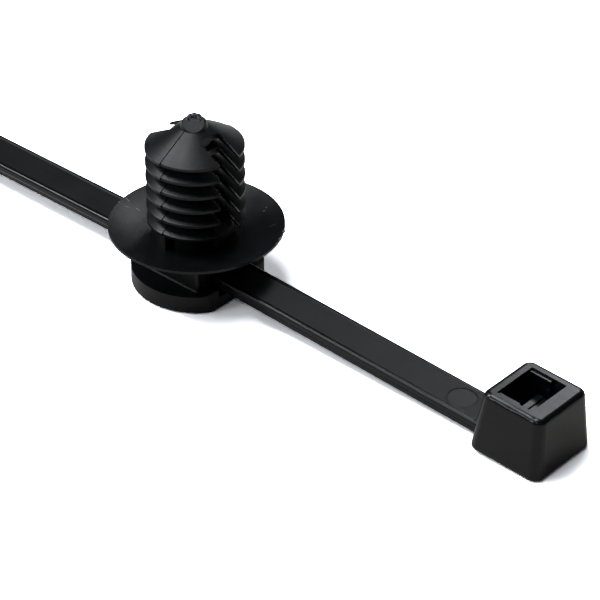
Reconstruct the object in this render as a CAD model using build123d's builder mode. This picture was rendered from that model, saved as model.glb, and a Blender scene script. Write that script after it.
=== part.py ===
"""Fir tree cable tie: a toothed nylon strap with its locking head, and a fir tree mount threaded on it.

Frame: the origin is the middle of the foot plate's underside, +X runs along the strap to the head,
+Z runs up the fir tree. Z = 0 is the surface that the foot plate, the head and the tail lie on.
"""
import os
from math import acos, atan, cos, degrees, radians, sin, tan

from build123d import *

# Strap section, in millimetres
strap_width = 4.7
strap_thickness = 1.4
lip_width = 0.5
lip_height = 0.1
lip_round = 0.36
edge_break = 0.12
seam_height = 0.66
seam_depth = 0.07

# Rack on the strap's underside, between two plain rails
rail_width = 0.8
rack_recess = 0.1
rack_pitch = 1.2
tooth_depth = 0.5
tooth_crest = 0.25
rack_start = 11.0

# Run of the strap: from the head past the mount to the tail
head_distance = 41.0
lip_stop = 1.0
bend_radius = 70.0
level_reach = 76.0
drop_radius = 80.0
tail_length = 12.0
tail_tip_width = 2.0
ejector_mark_diameter = 3.15
ejector_mark_depth = 0.05
ejector_mark_distance = 4.22

# Opening in the head
passage_side_clearance = 0.46
passage_clearance = 0.3
pawl_room = 2.65
mouth_setback = 1.915
ledge_depth = 0.22
ledge_width = 0.42
entry_chamfer = 0.35

# Head around the opening
head_height = 6.93
front_wall = 2.605
side_wall = 1.735
front_wall_at_top = 1.94
side_wall_at_top = 1.03
head_top_setback = 0.75
head_corner_round = 1.14
head_top_corner_round = 1.01
head_edge_round = 0.6
head_base_round = 0.35
neck_round = 0.7

# Pawl, hinged low on the strap's side of the opening
pawl_side_gap = 0.5
pawl_hinge_height = 1.2
pawl_hinge_thickness = 1.0
pawl_tip_height = 5.0
pawl_tip_length = 0.65
pawl_tip_step = 0.15
pawl_tooth_reach = 0.55
pawl_bite = 0.28
pawl_tooth_count = 3

# Foot plate and the channel that the strap runs in
plate_radius = 7.2
plate_length = 12.1
plate_top_length = 11.1
plate_thickness = 2.12
plate_corner_round = 1.2
plate_edge_break = 0.2
channel_side_clearance = 0.32
channel_floor_clearance = 0.15
channel_roof_clearance = 0.25
channel_depth = 0.13
channel_level_length = 2.0
channel_end_depth = 0.95

# Neck block over the channel
block_length = 8.6
block_wall = 1.88
block_corner_round = 0.3
block_foot_web = 0.12
block_roof = 1.16

# Sprung disc
disc_radius = 9.5
disc_hub_radius = 4.0
disc_web_thickness = 0.7
disc_rim_thickness = 0.3
disc_dish = 1.3
disc_curve_share = 0.32

# Stem between the disc and the fins, with a rounded collar in each slot
stem_radius = 3.97
stem_length = 0.73
buttress_radius = 4.85
collar_radius = 4.63
collar_top_radius = 3.12
collar_rise = 2.6
collar_curve_radius = 3.0

# Fir tree
core_radius = 1.7
fin_radius = 5.25
fin_count = 6
fin_pitch = 1.735
fin_standoff = 2.15
fin_rim_thickness = 0.3
fin_top_slope = 0.595
fin_underside_slope = 0.456
fin_edge_break = 0.1
tip_radius = 1.5
slot_width = 2.7
slot_floor_distance = 2.17

# Step between the halves of the fins, where the mould parts, and stub of the gate on the apex
mould_step = 0.16
stub_height = 0.9
stub_top_radius = 0.9
stub_shoulder_height = 0.58
stub_shoulder_radius = 1.28
stub_slant = 30.0
stub_slant_direction = -50.0

# How far a solid reaches into its neighbour, or a cut past a face
overlap = 1.0

# Plan sizes of the opening, the head and the pawl, measured from the head's face on the strap's side
mouth_width = strap_width + 2 * passage_side_clearance
passage_thickness = strap_thickness + passage_clearance
passage_back = mouth_setback + pawl_room
mouth_front = passage_back + passage_thickness
head_length = mouth_front + front_wall
head_width = mouth_width + 2 * side_wall
head_top_length = mouth_front + front_wall_at_top - head_top_setback
head_top_width = mouth_width + 2 * side_wall_at_top
pawl_width = mouth_width - 2 * (ledge_width + pawl_side_gap)
tooth_edge = passage_back + pawl_bite
tooth_heel = tooth_edge - pawl_tooth_reach
pawl_tip_setback = tooth_heel - pawl_tip_length

# Heights of the strap and of the mount's stages
channel_floor = plate_thickness - channel_depth
strap_base = channel_floor + channel_floor_clearance
channel_roof = strap_base + strap_thickness + channel_roof_clearance
disc_underside = channel_roof + block_roof
disc_top = disc_underside + disc_web_thickness
disc_rim_top = disc_top + disc_dish
collar_base = disc_top + stem_length
first_fin = disc_top + fin_standoff
last_fin = first_fin + (fin_count - 1) * fin_pitch
fin_run = fin_radius - tip_radius
tip_height = last_fin + fin_rim_thickness + fin_run * fin_top_slope
stem_top = first_fin + (fin_radius - stem_radius) * fin_underside_slope
buttress_top = first_fin + (fin_radius - buttress_radius) * fin_underside_slope

# Slope down to the head, so that its far edge rests level with the foot plate, and drop to the tail
head_slope = degrees(atan(strap_base / (head_distance + head_length)))
slope_tan = tan(radians(head_slope))
slope_run = head_distance / cos(radians(head_slope))
bend_tangent = bend_radius * tan(radians(head_slope) / 2)
drop_angle = degrees(acos(1 - strap_base / (2 * drop_radius)))
tail_reach = level_reach + 2 * drop_radius * sin(radians(drop_angle)) + tail_length

# The head's own plane: its X runs on from the strap, its Z is the way out of the opening
head_plane = Plane(
    origin=(head_distance, 0, strap_base - head_distance * slope_tan),
    x_dir=(cos(radians(head_slope)), 0, -sin(radians(head_slope))),
    z_dir=(sin(radians(head_slope)), 0, cos(radians(head_slope))),
)
head_up = Axis(head_plane.origin, head_plane.z_dir)
head_side_plane = Plane(origin=head_plane.origin, x_dir=head_plane.x_dir, z_dir=(0, -1, 0))

# The strap's underside, from the tail's tip to inside the head
with BuildLine(Plane.XZ) as underside_line:
    tail_flat = Line((-tail_reach, 0), (-tail_reach + tail_length, 0))
    rise = JernArc(tail_flat @ 1, (1, 0), drop_radius, drop_angle)
    settle = JernArc(rise @ 1, rise % 1, drop_radius, -drop_angle)
    level = Line(settle @ 1, (-bend_tangent, strap_base))
    bend = JernArc(level @ 1, (1, 0), bend_radius, -head_slope)
    PolarLine(bend @ 1, slope_run - bend_tangent + overlap, direction=(1, -slope_tan))
underside = underside_line.wire()


# Locking head with its opening and its pawl
with BuildPart() as head:
    with BuildSketch(head_plane):
        with Locations((head_length / 2, 0)):
            RectangleRounded(head_length, head_width, head_corner_round)
    with BuildSketch(head_plane.offset(head_height)):
        with Locations((head_top_setback + head_top_length / 2, 0)):
            RectangleRounded(head_top_length, head_top_width, head_top_corner_round)
    loft()
    fillet(head.edges().group_by(head_up)[-1], head_edge_round)
    fillet(head.edges().group_by(head_up)[0], head_base_round)

    # Shallow mouth over the whole opening, which leaves a ledge on both sides of the pawl
    with BuildSketch(head_plane.offset(head_height)):
        with Locations((mouth_setback, 0)):
            Rectangle(mouth_front - mouth_setback, mouth_width, align=(Align.MIN, Align.CENTER))
    extrude(amount=-ledge_depth, mode=Mode.SUBTRACT)

    # Passage for the strap, right through, with a flared entry below
    with BuildSketch(head_plane.offset(head_height)):
        with Locations((passage_back, 0)):
            Rectangle(passage_thickness, mouth_width, align=(Align.MIN, Align.CENTER))
    extrude(amount=-head_height - overlap, mode=Mode.SUBTRACT)
    with BuildSketch(head_plane):
        with Locations((passage_back + passage_thickness / 2, 0)):
            Rectangle(passage_thickness + 2 * entry_chamfer, mouth_width + 2 * entry_chamfer)
    extrude(amount=entry_chamfer, taper=45, mode=Mode.SUBTRACT)

    # Pocket for the pawl
    with BuildSketch(head_plane.offset(head_height)):
        with Locations((mouth_setback, 0)):
            Rectangle(pawl_room, mouth_width - 2 * ledge_width, align=(Align.MIN, Align.CENTER))
    extrude(amount=pawl_hinge_height - head_height, mode=Mode.SUBTRACT)

    # Pawl: a tongue that leans from the floor of the pocket to the passage, toothed on that side
    with BuildSketch(head_side_plane):
        with BuildLine():
            outline = [(pawl_tip_setback, pawl_tip_height), (tooth_heel, pawl_tip_height)]
            lean = (pawl_tip_setback - mouth_setback) / (pawl_tip_height - pawl_hinge_height)
            for tooth in range(pawl_tooth_count):
                tooth_top = pawl_tip_height - pawl_tip_step - tooth * rack_pitch
                shift = tooth * rack_pitch * lean
                outline.append((tooth_heel - shift, tooth_top))
                outline.append((tooth_edge - shift, tooth_top))
            hinge_front = mouth_setback + pawl_hinge_thickness
            outline.append((hinge_front, pawl_hinge_height))
            outline.append((hinge_front, pawl_hinge_height - overlap))
            outline.append((mouth_setback, pawl_hinge_height - overlap))
            outline.append((mouth_setback, pawl_hinge_height))
            Polyline(outline, close=True)
        make_face()
    extrude(amount=pawl_width / 2, both=True)


# Strap, swept along its underside, with raised lips, a recessed rack and a tapered tail
with BuildPart() as tie_strap:
    rack_width = strap_width - 2 * rail_width
    section_plane = Plane(origin=underside @ 0, x_dir=(0, 1, 0), z_dir=underside % 0)
    with BuildSketch(section_plane) as section:
        Rectangle(strap_width, strap_thickness, align=(Align.CENTER, Align.MIN))
        fillet(section.vertices().group_by(Axis.Y)[-1], lip_round)
        chamfer(section.vertices().group_by(Axis.Y)[0], edge_break)
        with Locations((0, strap_thickness)):
            inner_width = strap_width - 2 * lip_width
            Trapezoid(inner_width, lip_height, 135, align=(Align.CENTER, Align.MAX), mode=Mode.SUBTRACT)
        Rectangle(rack_width, rack_recess, align=(Align.CENTER, Align.MIN), mode=Mode.SUBTRACT)
        with Locations((-strap_width / 2, seam_height), (strap_width / 2, seam_height)):
            RegularPolygon(seam_depth, 4, mode=Mode.SUBTRACT)
    sweep(sections=section.sketch, path=underside)

    # The lips and the rack's recess stop short of the head
    with BuildSketch(head_side_plane):
        with Locations((-lip_stop, strap_thickness - lip_height)):
            Rectangle(lip_stop + overlap, 2 * lip_height, align=Align.MIN)
    extrude(amount=strap_width, both=True, mode=Mode.SUBTRACT)
    with BuildSketch(head_side_plane):
        with Locations((-rack_start, 0)):
            Rectangle(rack_start + overlap / 2, rack_recess, align=Align.MIN)
    extrude(amount=rack_width / 2, both=True)

    # Gullets of the rack: steep towards the head, sloping towards the tail
    rack_end = underside.length - overlap - rack_start
    gullet_length = rack_pitch - tooth_crest
    gullets = []
    for gullet in range(int((rack_end - tail_length) / rack_pitch)):
        along = rack_end - (gullet + 1) * rack_pitch
        point = underside.position_at(along, position_mode=PositionMode.LENGTH)
        course = underside.tangent_at(along, position_mode=PositionMode.LENGTH)
        gullets.append(Location((point.X, point.Z), degrees(atan(course.Z / course.X))))
    with BuildSketch(Plane.XZ):
        with Locations(gullets):
            Polygon(
                (0, -overlap),
                (0, rack_recess + tooth_depth),
                (gullet_length, rack_recess),
                (gullet_length, -overlap),
                align=None,
            )
    extrude(amount=rack_width / 2, both=True, mode=Mode.SUBTRACT)

    # Tail: a plan taper with a round tip
    tail_start = -tail_reach + tail_length
    tip_middle = -tail_reach + tail_tip_width / 2
    with BuildSketch(Plane.XY):
        with Locations((-tail_reach, 0)):
            Rectangle(tail_length, strap_width + overlap, align=(Align.MIN, Align.CENTER))
        with BuildLine():
            left_side = Line((tail_start, strap_width / 2), (tip_middle, tail_tip_width / 2))
            tip_arc = ThreePointArc(left_side @ 1, (-tail_reach, 0), (tip_middle, -tail_tip_width / 2))
            right_side = Line(tip_arc @ 1, (tail_start, -strap_width / 2))
            Line(right_side @ 1, left_side @ 0)
        make_face(mode=Mode.SUBTRACT)
    extrude(amount=strap_thickness + overlap, mode=Mode.SUBTRACT)

    # Round the strap up into the head, and press the shallow ejector mark beside it
    strap_face = strap_thickness - lip_height
    with BuildSketch(head_side_plane):
        with BuildLine():
            neck_arc = RadiusArc((-neck_round, strap_face), (0, strap_face + neck_round), -neck_round)
            Polyline(
                neck_arc @ 1,
                (overlap, strap_face + neck_round),
                (overlap, strap_face),
                neck_arc @ 0,
            )
        make_face()
    extrude(amount=strap_width / 2 - lip_round, both=True)
    with BuildSketch(head_plane.offset(strap_face)):
        with Locations((-ejector_mark_distance, 0)):
            Circle(ejector_mark_diameter / 2)
    extrude(amount=-ejector_mark_depth, mode=Mode.SUBTRACT)
    add(head)


# Fir tree: conical fins on a slim core, cut by a slot towards the head and one towards the tail
with BuildPart() as fir_tree:
    # The mould halves don't quite line up: the tail's half sits towards -Y, the head's towards +Y
    for side in (1, -1):
        half = Plane(origin=(0, -side * mould_step / 2, 0), x_dir=(0, side, 0), z_dir=(side, 0, 0))
        with BuildSketch(half):
            for fin in range(fin_count):
                rim_low = first_fin + fin * fin_pitch
                rim_high = rim_low + fin_rim_thickness
                with BuildLine():
                    Polyline(
                        (fin_radius, rim_low),
                        (fin_radius, rim_high),
                        (tip_radius, rim_high + fin_run * fin_top_slope),
                        (0, rim_high + fin_run * fin_top_slope),
                        (0, rim_low + fin_run * fin_underside_slope),
                        (tip_radius, rim_low + fin_run * fin_underside_slope),
                        close=True,
                    )
                make_face()
        revolve(axis=Axis(half.origin, (0, 0, 1)), revolution_arc=180)
    with BuildSketch(Plane.XY.offset(collar_base)):
        Circle(core_radius)
    extrude(amount=last_fin + fin_run * fin_underside_slope - collar_base)
    with BuildSketch(Plane.XY.offset(collar_base)):
        Circle(stem_radius)
    extrude(amount=stem_top - collar_base)

    # Slots, with broken edges along the fins' slopes and rims
    with BuildSketch(Plane.XY.offset(collar_base)):
        slot_length = fin_radius - slot_floor_distance + overlap
        slot_middle = slot_floor_distance + slot_length / 2
        with Locations((slot_middle, 0), (-slot_middle, 0)):
            Rectangle(slot_length, slot_width)
    extrude(amount=tip_height - collar_base + overlap, mode=Mode.SUBTRACT)
    for wall in fir_tree.faces().filter_by(Axis.Y).sort_by(Axis.Z)[4:]:
        rim_edge, _, slope_edge, _ = wall.edges().sort_by(Axis.Z)
        chamfer((rim_edge, slope_edge), fin_edge_break)

    # Blunt stub of the gate, sheared off at a slant on one side
    with BuildSketch(Plane.XZ):
        with BuildLine():
            Polyline(
                (0, tip_height - overlap),
                (tip_radius, tip_height - overlap),
                (tip_radius, tip_height),
                (stub_shoulder_radius, tip_height + stub_shoulder_height),
                (stub_top_radius, tip_height + stub_height),
                (0, tip_height + stub_height),
                close=True,
            )
        make_face()
    revolve(axis=Axis.Z)
    stub_top = Plane.XY.offset(tip_height + stub_height)
    with BuildSketch(stub_top * Rotation(0, 0, stub_slant_direction) * Rotation(0, stub_slant, 0)):
        Rectangle(3 * tip_radius, 3 * tip_radius, align=(Align.MIN, Align.CENTER))
    extrude(amount=overlap, mode=Mode.SUBTRACT)


# Collar that rounds off the foot of both slots
with BuildPart() as collar:
    with BuildSketch(Plane.XZ):
        with BuildLine():
            collar_edge = (collar_radius, collar_base)
            collar_top = (collar_top_radius, collar_base + collar_rise)
            Polyline(collar_top, (0, collar_base + collar_rise), (0, collar_base), collar_edge)
            RadiusArc(collar_edge, collar_top, -collar_curve_radius)
        make_face()
    revolve(axis=Axis.Z)
    with BuildSketch(Plane.XY.offset(collar_base)):
        Rectangle(2 * collar_radius, slot_width)
    extrude(amount=collar_rise, mode=Mode.INTERSECT)


# Fir tree mount: foot plate, neck block, sprung disc, stem and fir tree in one moulding
with BuildPart() as fir_tree_mount:
    # Round foot plate with two flat ends that lean inwards
    with BuildSketch(Plane.XY):
        Circle(plate_radius)
    extrude(amount=plate_thickness)
    end_angle = degrees(atan(2 * plate_thickness / (plate_length - plate_top_length)))
    with BuildSketch(Plane.XZ):
        Trapezoid(plate_length, plate_thickness, end_angle, align=(Align.CENTER, Align.MIN))
    extrude(amount=plate_radius, both=True, mode=Mode.INTERSECT)
    upright_edges = fir_tree_mount.edges().filter_by(
        lambda edge: edge.bounding_box().size.Z > plate_thickness / 2
    )
    fillet(upright_edges, plate_corner_round)
    chamfer(fir_tree_mount.edges().group_by(Axis.Z)[0], plate_edge_break)

    # Neck block between the plate and the disc
    block_width = strap_width + 2 * (channel_side_clearance + block_wall)
    block_foot = plate_thickness - channel_end_depth
    with BuildSketch(Plane.XY.offset(block_foot)):
        RectangleRounded(block_length, block_width, block_corner_round)
    extrude(amount=disc_top - disc_web_thickness / 2 - block_foot)
    plate_top_edges = fir_tree_mount.edges().filter_by_position(
        Axis.Z, plate_thickness - 0.01, plate_thickness + 0.01
    )
    foot_edges = plate_top_edges.filter_by_position(Axis.X, -block_length / 2 - 0.01, block_length / 2 + 0.01)
    chamfer(
        foot_edges.filter_by_position(Axis.Y, -block_width / 2 - 0.01, block_width / 2 + 0.01),
        block_foot_web,
    )

    # Dished disc, thin at its rim
    with BuildSketch(Plane.XZ):
        with BuildLine():
            hub_under = (disc_hub_radius, disc_underside)
            rim_under = (disc_radius, disc_rim_top - disc_rim_thickness)
            rim_top = (disc_radius, disc_rim_top)
            hub_top = (disc_hub_radius, disc_top)
            middle = (disc_hub_radius + disc_radius) / 2
            rise_there = disc_curve_share * disc_dish
            Polyline(hub_top, (0, disc_top), (0, disc_underside), hub_under)
            ThreePointArc(hub_under, (middle, disc_underside + rise_there), rim_under)
            Line(rim_under, rim_top)
            ThreePointArc(rim_top, (middle, disc_top + rise_there), hub_top)
        make_face()
    revolve(axis=Axis.Z)

    # Stem, with a half-round buttress on the tail's side and the collar in the slots
    stem_foot = disc_top - disc_web_thickness / 2
    with BuildSketch(Plane.XY.offset(stem_foot)):
        Circle(stem_radius)
    extrude(amount=collar_base - stem_foot)
    with BuildSketch(Plane.XY.offset(stem_foot)):
        Circle(buttress_radius)
        Rectangle(
            buttress_radius,
            2 * buttress_radius,
            align=(Align.MIN, Align.CENTER),
            mode=Mode.SUBTRACT,
        )
    extrude(amount=buttress_top - stem_foot)
    add(collar)
    add(fir_tree)

    # Channel for the strap through the block, falling away to both ends of the plate
    with BuildSketch(Plane.XZ):
        with BuildLine():
            level_half = channel_level_length / 2
            end_half = plate_length / 2
            end_floor = plate_thickness - channel_end_depth
            Polyline(
                (-end_half, end_floor),
                (-level_half, channel_floor),
                (level_half, channel_floor),
                (end_half, end_floor),
                (end_half, channel_roof),
                (-end_half, channel_roof),
                close=True,
            )
        make_face()
    extrude(amount=strap_width / 2 + channel_side_clearance, both=True, mode=Mode.SUBTRACT)


tie_strap.part.label = "tie_strap"
fir_tree_mount.part.label = "fir_tree_mount"

os.makedirs("parts", exist_ok=True)
export_step(tie_strap.part, "parts/tie_strap.step")
export_step(fir_tree_mount.part, "parts/fir_tree_mount.step")
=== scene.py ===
"""Studio scene of the fir tree cable tie: camera, floor, lights and the finish of both mouldings."""
import math
import random

import bmesh
import bpy
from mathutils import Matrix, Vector


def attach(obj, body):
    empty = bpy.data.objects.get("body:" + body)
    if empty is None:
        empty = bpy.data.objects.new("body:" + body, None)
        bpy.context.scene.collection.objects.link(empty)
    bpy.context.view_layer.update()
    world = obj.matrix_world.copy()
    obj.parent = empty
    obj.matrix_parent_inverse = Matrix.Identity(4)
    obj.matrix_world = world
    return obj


MM = 0.001

# Camera: the point that it looks at and its distance from it in mm, its direction and angle of view in
# degrees, and the nearest and farthest that it sees in metres
CAMERA_TARGET = (14.166, 0.774, 3.0)
CAMERA_DISTANCE = 294.04
CAMERA_AZIMUTH = 41.833
CAMERA_ELEVATION = 34.528
CAMERA_ANGLE = 12.249
CAMERA_CLIP = (0.01, 10)

# Floor: half its side in metres, and its colour for the light that it throws back, in reflections, and
# as the camera sees it
FLOOR_HALF = 3.0
FLOOR_GREY = (0.5, 0.5, 0.5, 1)
FLOOR_MIRRORED = (0.66, 0.63, 0.59, 1)
FLOOR_WHITE = (3.2, 3.2, 3.2, 1)

# Distances from the object, in metres, between which the floor's shadow fades into plain white
FADE = (0.16, 0.3)

# Softboxes round the object: azimuth and elevation in degrees, side in metres, power in watts
LAMP_DISTANCE = 0.9
LAMP_COLOUR = (0.92, 0.95, 1.0)
SOFTBOXES = {
    "top_back": (240, 70, 0.2, 1.9),
    "top_left": (290, 70, 0.2, 1.6),
    "top_front": (335, 70, 0.2, 1.2),
    "top": (0, 88, 0.1, 0.35),
    "back": (198, 50, 0.2, 0.7),
    "back_glint": (205, 40, 0.15, 0.6),
    "back_low": (200, 10, 0.2, 0.1),
    "left": (270, 30, 0.2, 0.05),
    "left_front": (304, 32, 0.2, 0.7),
    "left_front_low": (304, 14, 0.2, 0.6),
    "front_left": (330, 30, 0.2, 1.2),
    "front_right": (60, 35, 0.3, 0.08),
    "lip_glint": (296, 49, 0.2, 3.6),
    "edge_glint": (11, 45, 0.15, 0.4),
}

# Studio walls: their strength as light on the object, in reflections, and as the camera sees them
WALL_LIGHT = 0.03
WALL_MIRRORED = 0.05
WALL_WHITE = 1.0

# Nylon: its black and the paler black of its patches, the patches per metre, and its gloss
NYLON_BLACK = (0.0018, 0.0023, 0.0027, 1)
NYLON_PALER = (0.0029, 0.0036, 0.0041, 1)
NYLON_PATCHES = 450
NYLON_IOR = 1.5
NYLON_SPECULAR = 0.25

# Roughness of each surface
STRAP_ROUGHNESS = 0.42
LIP_ROUGHNESS = 0.18
HEAD_ROUGHNESS = 0.2
MOUNT_ROUGHNESS = 0.37
CUT_ROUGHNESS = 0.14

# Strap: where its finish changes into the lips', along Y, and into the head's, along X, in metres
LIP_EDGES = (0.0018, 0.0019)
HEAD_EDGES = (0.041, 0.0415)

# Strap: gloss patches and draw lines per metre, how much they change the roughness, and the lines' stretch
GLOSS_PATCHES = 300
GLOSS_PATCH_CHANGE = 0.12
DRAW_LINES = 2600
DRAW_LINE_CHANGE = 0.08
DRAW_LINE_STRETCH = (0.06, 1, 1)

# Strap: its grain per metre, the depth of grain and lines in metres, and their strength on strap and head
STRAP_GRAIN = 6000
STRAP_GRAIN_DEPTH = 0.00001
DRAW_LINE_DEPTH = 0.000008
STRAP_RELIEF = 0.5
HEAD_RELIEF = 0.08

# Round ejector mark on the strap: its middle along X, radius and groove depth in metres, the groove's
# edges from the radius in radii, the groove's strength, and how much smoother the mark is
MARK_MIDDLE = 0.03678
MARK_RADIUS = 0.001575
MARK_DEPTH = 0.00003
MARK_GROOVE = (0.02, 0.07)
MARK_RELIEF = 0.6
MARK_SMOOTHER = 0.07

# Fir tree's slots, in metres: half width along Y, start along X from the axis, and lowest point
SLOT_HALF = 0.00148
SLOT_START = 0.0023
SLOT_BOTTOM = 0.0085

# Mount: dull patches per metre, the noise levels that they run between, and their change of roughness
DULL_PATCHES = 350
DULL_LEVELS = (0.3, 0.7)
DULL_CHANGE = 0.05

# Mount: grain and turned rings, per metre, with their strength and their depth in metres
MOUNT_GRAIN = 5000
MOUNT_GRAIN_RELIEF = 0.5
MOUNT_GRAIN_DEPTH = 0.00002
RINGS = 700
RING_DISTORTION = 0.6
RING_RELIEF = 0.35
RING_DEPTH = 0.000006

# Rubbed marks on the disc, in mm: middle, turn in degrees, half length and half width
RUBBED_MARKS = [
    ((-9.0, -1.45, 6.7), -6, 0.5, 0.07),
    ((-7.3, -1.55, 6.2), 4, 0.4, 0.05),
    ((-8.2, -2.3, 6.5), 38, 0.35, 0.04),
    ((3.2, 7.2, 6.4), 70, 0.16, 0.09),
    ((3.1, 7.7, 6.5), 85, 0.1, 0.08),
    ((5.9, 5.6, 6.5), 60, 0.5, 0.04),
]
RUBBED_HALF_HEIGHT = 0.8
RUBBED_GREY = (0.13, 0.13, 0.135, 1)

# How far into a rubbed mark its grey is full, from 0 at its edge to 1 in its middle, and that full share
RUBBED_EDGE = 0.35
RUBBED_SHARE = 0.9

# Torn nylon: its black and the pale of its stressed spots, the spots per metre and their noise levels,
# roughness off and on them, and its coarse grain
TORN_BLACK = (0.012, 0.0125, 0.013, 1)
TORN_PALE = (0.24, 0.24, 0.245, 1)
TORN_SPOTS = 5200
TORN_LEVELS = (0.46, 0.62)
TORN_ROUGHNESS = (0.35, 0.6)
TORN_GRAIN = 7000
TORN_RELIEF = 0.8
TORN_DEPTH = 0.00004

# Ragged ridges: points round each ring, and how far they stray from its true size
RIDGE_SIDES = 8
RIDGE_REACH = (0.72, 1.18)

# Torn gate on top of the fir tree: its arc from right to left as polar angles, its sizes in mm, its seed
SCAR_ARC = (15, 250)
SCAR_RADIUS = 0.62
SCAR_HALF_WIDTH = 0.3
SCAR_HEIGHT = 0.34
SCAR_SEED = 5

# Its rings, the share of its size at both ends, and its lumps: how many half waves, and how deep
SCAR_STEPS = 36
SCAR_END = 0.25
SCAR_WAVES = 9
SCAR_LUMP = 0.2

# Stub under the torn gate: its top in mm, and the slope of its sheared side along X and Y
STUB_TOP = 19.91
STUB_SHEAR = (0.371, -0.442)

# Disc's rim in mm, and its slivers of flash: polar angle, half length, how far out and half height
RIM_RADIUS = 9.47
RIM_MIDDLE = 6.87
RIM_SLIVERS = [
    (38, 0.14, 0.09, 0.1),
    (32, 0.34, 0.17, 0.16),
    (27, 0.18, 0.12, 0.14),
    (23, 0.4, 0.18, 0.13),
    (17, 0.2, 0.1, 0.12),
    (196, 0.3, 0.09, 0.1),
    (172, 0.22, 0.08, 0.1),
]

# The slivers' rings, the share of their size at both ends, and their seed
SLIVER_STEPS = 8
SLIVER_END = 0.2
SLIVER_SEED = 11


def direction(azimuth, elevation):
    """Unit vector from the object towards that azimuth (0 is -Y, 90 is +X) and elevation, in degrees."""
    a, e = math.radians(azimuth), math.radians(elevation)
    return Vector((math.sin(a) * math.cos(e), -math.cos(a) * math.cos(e), math.sin(e)))


def polar(turn):
    """Unit vector at that polar angle in radians, from +X towards +Y."""
    return Vector((math.cos(turn), math.sin(turn), 0))


def add_object(name, data):
    thing = bpy.data.objects.new(name, data)
    bpy.context.scene.collection.objects.link(thing)
    return thing


def aim(thing, azimuth, elevation, distance):
    """Put a camera or lamp at that direction and distance in metres from the camera's target, facing it."""
    towards = direction(azimuth, elevation)
    thing.location = Vector(CAMERA_TARGET) * MM + towards * distance
    thing.rotation_mode = "QUATERNION"
    thing.rotation_quaternion = (-towards).to_track_quat("-Z", "Y")


def add_camera():
    data = bpy.data.cameras.new("camera")
    data.sensor_fit = "HORIZONTAL"
    data.angle = math.radians(CAMERA_ANGLE)
    data.clip_start, data.clip_end = CAMERA_CLIP
    camera = add_object("camera", data)
    aim(camera, CAMERA_AZIMUTH, CAMERA_ELEVATION, CAMERA_DISTANCE * MM)
    bpy.context.scene.camera = camera


def add_floor():
    """Pale floor. The camera and reflections see it white or pale, with the object's shadow on it."""
    half = FLOOR_HALF
    mesh = bpy.data.meshes.new("floor")
    corners = [(-half, -half, 0), (half, -half, 0), (half, half, 0), (-half, half, 0)]
    mesh.from_pydata(corners, [], [(0, 1, 2, 3)])
    floor = add_object("floor", mesh)
    material, tree = new_material("floor_paper")
    from_camera, mirrored = light_rays(tree)
    place = put(tree, "ShaderNodeTexCoord", {}).outputs["Object"]
    far = blend_over(tree, vector_length(tree, place), *FADE)
    glow = put(tree, "ShaderNodeEmission", {}).outputs[0]
    shown = mix_shaders(tree, far, paper(tree, FLOOR_WHITE), glow)
    sheet = mix_shaders(tree, mirrored, paper(tree, FLOOR_GREY), paper(tree, FLOOR_MIRRORED))
    sheet = mix_shaders(tree, from_camera, sheet, shown)
    put(tree, "ShaderNodeOutputMaterial", {"Surface": sheet})
    mesh.materials.append(material)


def add_softbox(name, azimuth, elevation, size, power):
    """Square lamp at that direction from the object, aimed at it."""
    data = bpy.data.lights.new(name, "AREA")
    data.shape = "SQUARE"
    data.size = size
    data.energy = power
    data.color = LAMP_COLOUR
    aim(add_object(name, data), azimuth, elevation, LAMP_DISTANCE)


def add_walls():
    """World that is white for the camera and nearly black for everything else."""
    world = bpy.data.worlds.new("studio")
    world.use_nodes = True
    tree = world.node_tree
    from_camera, mirrored = light_rays(tree)
    level = switch(tree, mirrored, WALL_LIGHT, WALL_MIRRORED)
    level = switch(tree, from_camera, level, WALL_WHITE)
    background = tree.nodes["Background"]
    feed(tree, background.inputs["Color"], (1.0, 1.0, 1.0, 1))
    feed(tree, background.inputs["Strength"], level)
    bpy.context.scene.world = world


def new_material(name):
    material = bpy.data.materials.new(name)
    material.use_nodes = True
    material.node_tree.nodes.clear()
    return material, material.node_tree


def feed(tree, socket, value):
    """Give a socket a value, or the output of another node."""
    if isinstance(value, bpy.types.NodeSocket):
        tree.links.new(value, socket)
    else:
        socket.default_value = value


def put(tree, kind, sockets, **settings):
    """New node of that kind, with those settings and its input sockets fed."""
    node = tree.nodes.new(kind)
    for setting, value in settings.items():
        setattr(node, setting, value)
    for socket, value in sockets.items():
        feed(tree, node.inputs[socket], value)
    return node


def paper(tree, colour):
    return put(tree, "ShaderNodeBsdfDiffuse", {"Color": colour}).outputs[0]


def mix_shaders(tree, share, first, second):
    return put(tree, "ShaderNodeMixShader", {0: share, 1: first, 2: second}).outputs[0]


def mix_colours(tree, share, first, second):
    sockets = {"Factor": share, "A": first, "B": second}
    return put(tree, "ShaderNodeMix", sockets, data_type="RGBA").outputs["Result"]


def light_rays(tree):
    """Two outputs: 1 for what the camera sees itself, and 1 for what it sees reflected or through glass."""
    path = put(tree, "ShaderNodeLightPath", {}).outputs
    mirrored = calculate(tree, "MAXIMUM", path["Is Glossy Ray"], path["Is Transmission Ray"])
    return path["Is Camera Ray"], mirrored


def calculate(tree, operation, first, second=0.0):
    return put(tree, "ShaderNodeMath", {0: first, 1: second}, operation=operation).outputs[0]


def blend_over(tree, value, start, end, low=0.0, high=1.0):
    """low below start, high above end, and even between them. low and high are numbers or sockets."""
    sockets = {"Value": value, "From Min": start, "From Max": end, "To Min": low, "To Max": high}
    return put(tree, "ShaderNodeMapRange", sockets).outputs["Result"]


def switch(tree, share, low, high):
    """low where the share is 0 and high where it is 1."""
    return blend_over(tree, share, 0.0, 1.0, low, high)


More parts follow.
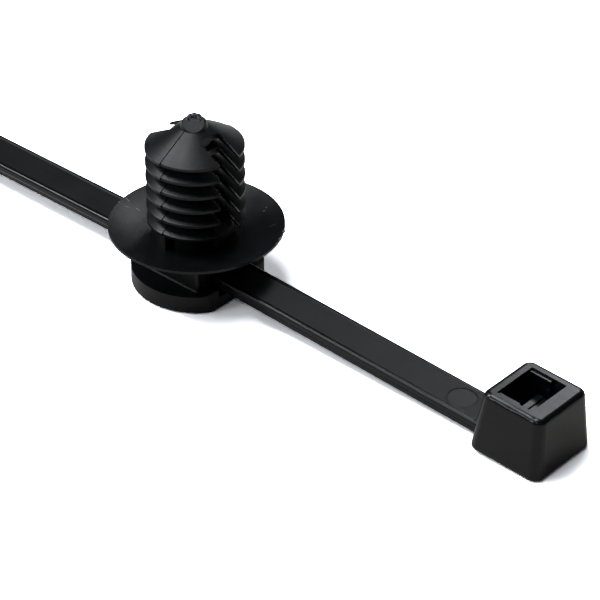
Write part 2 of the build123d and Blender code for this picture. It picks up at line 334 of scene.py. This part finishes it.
def vary(tree, value, pattern, change):
    """The value, made higher or lower by up to half the change, by a pattern from 0 to 1."""
    off_middle = calculate(tree, "SUBTRACT", pattern, 0.5)
    return calculate(tree, "ADD", value, calculate(tree, "MULTIPLY", off_middle, change))


def vector_length(tree, vector):
    return put(tree, "ShaderNodeVectorMath", {0: vector}, operation="LENGTH").outputs["Value"]


def local_place(tree, place, middle, half_sizes, turn=0.0):
    """The place measured from a middle in half sizes, both in metres, and turned by radians about Z."""
    sockets = {"Vector": place, "Location": middle, "Rotation": (0, 0, turn), "Scale": half_sizes}
    return put(tree, "ShaderNodeMapping", sockets, vector_type="TEXTURE").outputs[0]


def mottle(tree, place, scale, stretch=(1, 1, 1), detail=3):
    """Noise from 0 to 1 of that scale per metre. A stretch below 1 draws it out along that axis."""
    stretched = put(tree, "ShaderNodeMapping", {"Vector": place, "Scale": stretch}).outputs[0]
    sockets = {"Vector": stretched, "Scale": scale, "Detail": detail}
    return put(tree, "ShaderNodeTexNoise", sockets).outputs["Fac"]


def start_nylon(name):
    """Nylon with its gloss. Gives the material, its tree, its shader, and the place on the object."""
    material, tree = new_material(name)
    sockets = {"IOR": NYLON_IOR, "Specular IOR Level": NYLON_SPECULAR}
    shader = put(tree, "ShaderNodeBsdfPrincipled", sockets)
    put(tree, "ShaderNodeOutputMaterial", {"Surface": shader.outputs[0]})
    place = put(tree, "ShaderNodeTexCoord", {}).outputs["Object"]
    return material, tree, shader, place


def nylon_black(tree, place):
    """Black with patches of a slightly paler black."""
    return mix_colours(tree, mottle(tree, place, NYLON_PATCHES), NYLON_BLACK, NYLON_PALER)


def along_axes(tree, place):
    """The place's X, Y and Z."""
    return put(tree, "ShaderNodeSeparateXYZ", {0: place}).outputs


def add_relief(tree, shader, layers):
    """Bumps on the shader, from (height, strength, depth in metres) layers."""
    normal = None
    for height, strength, depth in layers:
        sockets = {"Height": height, "Strength": strength, "Distance": depth}
        bump = put(tree, "ShaderNodeBump", sockets)
        if normal:
            feed(tree, bump.inputs["Normal"], normal)
        normal = bump.outputs[0]
    feed(tree, shader.inputs["Normal"], normal)


def strap_nylon():
    """Matt strap with fine draw lines along it, a round mark, glossy lips, and a glossy head."""
    material, tree, shader, place = start_nylon("strap_nylon")
    x, y = along_axes(tree, place)[:2]
    lines = mottle(tree, place, DRAW_LINES, DRAW_LINE_STRETCH)
    mark = local_place(tree, place, (MARK_MIDDLE, 0, 0), (MARK_RADIUS, MARK_RADIUS, 1))
    from_middle = vector_length(tree, mark)

    across = calculate(tree, "ABSOLUTE", y)
    roughness = blend_over(tree, across, *LIP_EDGES, STRAP_ROUGHNESS, LIP_ROUGHNESS)
    roughness = blend_over(tree, x, *HEAD_EDGES, roughness, HEAD_ROUGHNESS)
    in_mark = calculate(tree, "LESS_THAN", from_middle, 1.0)
    smoother = calculate(tree, "MULTIPLY", in_mark, MARK_SMOOTHER)
    roughness = calculate(tree, "SUBTRACT", roughness, smoother)
    roughness = vary(tree, roughness, mottle(tree, place, GLOSS_PATCHES), GLOSS_PATCH_CHANGE)
    roughness = vary(tree, roughness, lines, DRAW_LINE_CHANGE)

    off_groove = calculate(tree, "ABSOLUTE", calculate(tree, "SUBTRACT", from_middle, 1.0))
    groove = blend_over(tree, off_groove, *MARK_GROOVE)
    grain = mottle(tree, place, STRAP_GRAIN, detail=4)
    strength = blend_over(tree, x, *HEAD_EDGES, STRAP_RELIEF, HEAD_RELIEF)
    layers = (
        (grain, strength, STRAP_GRAIN_DEPTH),
        (lines, strength, DRAW_LINE_DEPTH),
        (groove, MARK_RELIEF, MARK_DEPTH),
    )
    feed(tree, shader.inputs["Base Color"], nylon_black(tree, place))
    feed(tree, shader.inputs["Roughness"], roughness)
    add_relief(tree, shader, layers)
    return material


def slot_share(tree, place):
    """1 at the cut edges of the fir tree's slots, and 0 elsewhere."""
    x, y, z = along_axes(tree, place)
    along = calculate(tree, "GREATER_THAN", calculate(tree, "ABSOLUTE", x), SLOT_START)
    across = calculate(tree, "LESS_THAN", calculate(tree, "ABSOLUTE", y), SLOT_HALF)
    above = calculate(tree, "GREATER_THAN", z, SLOT_BOTTOM)
    return calculate(tree, "MULTIPLY", calculate(tree, "MULTIPLY", along, across), above)


def rubbed_share(tree, place):
    """How grey the rubbed marks on the disc are, from 0 off them."""
    depth = 0.0
    for middle, turn, half_length, half_width in RUBBED_MARKS:
        middle = Vector(middle) * MM
        half_sizes = Vector((half_length, half_width, RUBBED_HALF_HEIGHT)) * MM
        mark = local_place(tree, place, middle, half_sizes, math.radians(turn))
        ball = put(tree, "ShaderNodeTexGradient", {"Vector": mark}, gradient_type="SPHERICAL")
        depth = calculate(tree, "MAXIMUM", depth, ball.outputs["Fac"])
    return blend_over(tree, depth, 0.0, RUBBED_EDGE, 0.0, RUBBED_SHARE)


def mount_nylon():
    """Dull eroded nylon with faint turned rings, smooth cut edges at the slots, and rubbed marks."""
    material, tree, shader, place = start_nylon("mount_nylon")
    low, high = MOUNT_ROUGHNESS - DULL_CHANGE, MOUNT_ROUGHNESS + DULL_CHANGE
    roughness = blend_over(tree, mottle(tree, place, DULL_PATCHES), *DULL_LEVELS, low, high)
    roughness = switch(tree, slot_share(tree, place), roughness, CUT_ROUGHNESS)
    colour = mix_colours(tree, rubbed_share(tree, place), nylon_black(tree, place), RUBBED_GREY)
    sockets = {"Vector": place, "Scale": RINGS, "Distortion": RING_DISTORTION}
    rings = put(tree, "ShaderNodeTexWave", sockets, wave_type="RINGS", rings_direction="Z")
    layers = (
        (mottle(tree, place, MOUNT_GRAIN, detail=4), MOUNT_GRAIN_RELIEF, MOUNT_GRAIN_DEPTH),
        (rings.outputs["Fac"], RING_RELIEF, RING_DEPTH),
    )
    feed(tree, shader.inputs["Base Color"], colour)
    feed(tree, shader.inputs["Roughness"], roughness)
    add_relief(tree, shader, layers)
    return material


def torn_nylon():
    """Rough broken nylon with pale stressed spots."""
    material, tree, shader, place = start_nylon("torn_nylon")
    spots = blend_over(tree, mottle(tree, place, TORN_SPOTS), *TORN_LEVELS)
    grain = mottle(tree, place, TORN_GRAIN, detail=4)
    feed(tree, shader.inputs["Base Color"], mix_colours(tree, spots, TORN_BLACK, TORN_PALE))
    feed(tree, shader.inputs["Roughness"], switch(tree, spots, *TORN_ROUGHNESS))
    add_relief(tree, shader, ((grain, TORN_RELIEF, TORN_DEPTH),))
    return material


def add_ragged_ridge(mesh, frames, rng):
    """Lumpy closed ridge through (middle, across, up) frames in mm. Across and up carry its half sizes."""
    rings = []
    for middle, across, up in frames:
        ring = []
        for side in range(RIDGE_SIDES):
            turn = math.tau * side / RIDGE_SIDES
            reach = rng.uniform(*RIDGE_REACH)
            point = middle + (across * math.cos(turn) + up * math.sin(turn)) * reach
            ring.append(mesh.verts.new(point * MM))
        rings.append(ring)
    for first, second in zip(rings, rings[1:]):
        for side in range(RIDGE_SIDES):
            after = (side + 1) % RIDGE_SIDES
            mesh.faces.new((first[side], first[after], second[after], second[side]))
    mesh.faces.new(reversed(rings[0]))
    mesh.faces.new(rings[-1])


def add_torn_piece(name, ridges, seed, material):
    """Piece made of ragged ridges, which rides on the mount."""
    rng = random.Random(seed)
    mesh = bmesh.new()
    for frames in ridges:
        add_ragged_ridge(mesh, frames, rng)
    bmesh.ops.recalc_face_normals(mesh, faces=mesh.faces)
    data = bpy.data.meshes.new(name)
    mesh.to_mesh(data)
    mesh.free()
    data.materials.append(material)
    piece = add_object(name, data)
    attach(piece, "mount")


def scar_frames():
    """The torn gate's ridge along the stub's back rim, thin at both ends."""
    frames = []
    start, end = SCAR_ARC
    for step in range(SCAR_STEPS + 1):
        share = step / SCAR_STEPS
        outward = polar(math.radians(start + (end - start) * share))
        middle = outward * SCAR_RADIUS
        drop = max(0.0, STUB_SHEAR[0] * middle.x + STUB_SHEAR[1] * middle.y)
        middle.z = STUB_TOP - drop
        taper = SCAR_END + (1 - SCAR_END) * math.sin(math.pi * share) ** 0.5
        lump = 1 - SCAR_LUMP + SCAR_LUMP * math.sin(SCAR_WAVES * share * math.pi)
        up = Vector((0, 0, SCAR_HEIGHT * taper * lump))
        frames.append((middle, outward * SCAR_HALF_WIDTH * taper, up))
    return frames


def sliver_frames(angle, half_length, reach, half_height):
    """A sliver of flash along the disc's rim, thin at both ends."""
    frames = []
    for step in range(SLIVER_STEPS + 1):
        along = 2 * step / SLIVER_STEPS - 1
        outward = polar(math.radians(angle) + along * half_length / RIM_RADIUS)
        middle = outward * RIM_RADIUS + Vector((0, 0, RIM_MIDDLE))
        taper = SLIVER_END + (1 - SLIVER_END) * (1 - along * along)
        frames.append((middle, outward * reach * taper, Vector((0, 0, half_height * taper))))
    return frames


def dress(node, material):
    """Give a node of the frame that material alone."""
    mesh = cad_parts[node].data
    mesh.materials.clear()
    mesh.materials.append(material)


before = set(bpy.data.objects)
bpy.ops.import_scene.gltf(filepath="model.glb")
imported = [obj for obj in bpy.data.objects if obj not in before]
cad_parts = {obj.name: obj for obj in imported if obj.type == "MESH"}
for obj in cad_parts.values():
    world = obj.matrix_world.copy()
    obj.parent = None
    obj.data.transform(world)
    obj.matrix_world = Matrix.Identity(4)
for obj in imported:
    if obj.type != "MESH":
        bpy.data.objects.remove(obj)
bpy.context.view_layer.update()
add_camera()
add_floor()
for lamp, settings in SOFTBOXES.items():
    add_softbox(lamp, *settings)
add_walls()
dress("tie_strap", strap_nylon())
dress("fir_tree_mount", mount_nylon())
torn = torn_nylon()
add_torn_piece("gate_scar", [scar_frames()], SCAR_SEED, torn)
add_torn_piece("rim_flash", [sliver_frames(*sliver) for sliver in RIM_SLIVERS], SLIVER_SEED, torn)

bpy.context.scene.view_settings.view_transform = "Standard"
